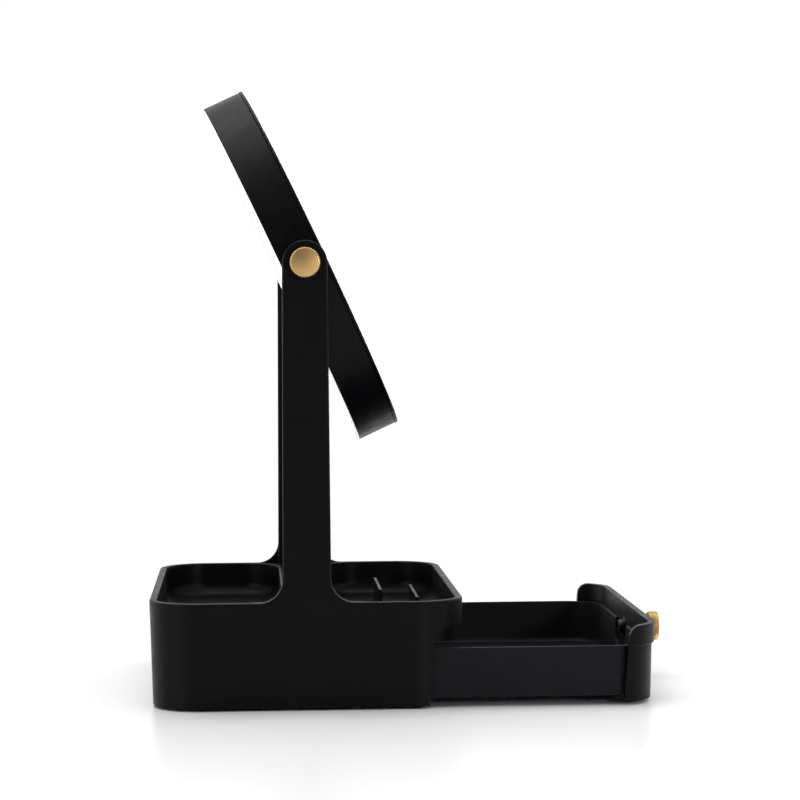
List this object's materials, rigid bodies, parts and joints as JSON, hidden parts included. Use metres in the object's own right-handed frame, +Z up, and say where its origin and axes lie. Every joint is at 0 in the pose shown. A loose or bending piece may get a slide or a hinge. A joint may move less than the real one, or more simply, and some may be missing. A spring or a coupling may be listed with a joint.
{
  "type": "vanity mirror with drawer",
  "caption": "Round tilting vanity mirror held between two side posts that rise from a tray-topped base with a pull-out drawer and knurled brass knobs.",
  "frame": {"origin": "middle of the base's footprint, at table level under the feet", "axes": "-Y out of the drawer's front, +Z up, +X to the right for someone facing that front"},
  "size_m": [0.217, 0.2605, 0.303],
  "materials": {
    "body_black": "satin moulded plastic, nearly black",
    "drawer_grey": "satin moulded plastic, dark blue-grey",
    "knob_brass": "knurled sides and lightly domed, satin-turned face",
    "diffuser_white": "frosted, translucent white plastic",
    "mirror_glass": "silvered glass with a polished edge",
    "core_white": "white moulded plastic",
    "board_white": "white solder mask",
    "board_green": "green solder mask",
    "lamp_yellow": "phosphor-filled lamp",
    "cell_silver": "foil pouch",
    "steel": "zinc-plated screws",
    "insert_brass": "plain turned brass",
    "washer_nylon": "dark nylon",
    "inlet_steel": "nickel-plated sheet shell",
    "foot_rubber": "soft black rubber"
  },
  "bodies": {
    "base": {"base_housing": "body_black", "bottom_plate": "body_black", "bottom_plate_screws": "steel", "rubber_feet": "foot_rubber", "pivot_washer_left": "washer_nylon", "pivot_washer_right": "washer_nylon"},
    "drawer": {"drawer_front": "body_black", "drawer_box": "drawer_grey", "drawer_knob": "knob_brass", "drawer_knob_washer": "steel", "drawer_knob_screw": "steel"},
    "mirror": {"mirror_rim": "body_black", "front_bezel": "body_black", "front_diffuser": "diffuser_white", "rear_diffuser": "diffuser_white", "front_glass": "mirror_glass", "rear_glass": "mirror_glass", "mirror_core": "core_white", "core_screws": "steel", "front_led_ring": "board_white", "rear_led_ring": "board_white", "front_leds": "lamp_yellow", "rear_leds": "lamp_yellow", "battery": "cell_silver", "battery_cover": "core_white", "control_board": "board_green", "usb_socket": "inlet_steel", "touch_sensor": "insert_brass", "pivot_inserts": "insert_brass"},
    "knob_left": {"pivot_knob_left": "knob_brass", "pivot_screw_left": "steel"},
    "knob_right": {"pivot_knob_right": "knob_brass", "pivot_screw_right": "steel"}
  },
  "joints": [
    {"name": "drawer_slide", "type": "slide", "parent": "base", "child": "drawer", "axis": [0, 1, 0], "range_m": [0, 0.0935]},
    {"name": "mirror_tilt", "type": "hinge", "parent": "base", "child": "mirror", "pos_m": [0, 0, 0.2139], "axis": [1, 0, 0], "continuous": true},
    {"name": "knob_left_turn", "type": "hinge", "parent": "base", "child": "knob_left", "pos_m": [0, 0, 0.2139], "axis": [1, 0, 0], "continuous": true},
    {"name": "knob_right_turn", "type": "hinge", "parent": "base", "child": "knob_right", "pos_m": [0, 0, 0.2139], "axis": [1, 0, 0], "continuous": true}
  ]
}
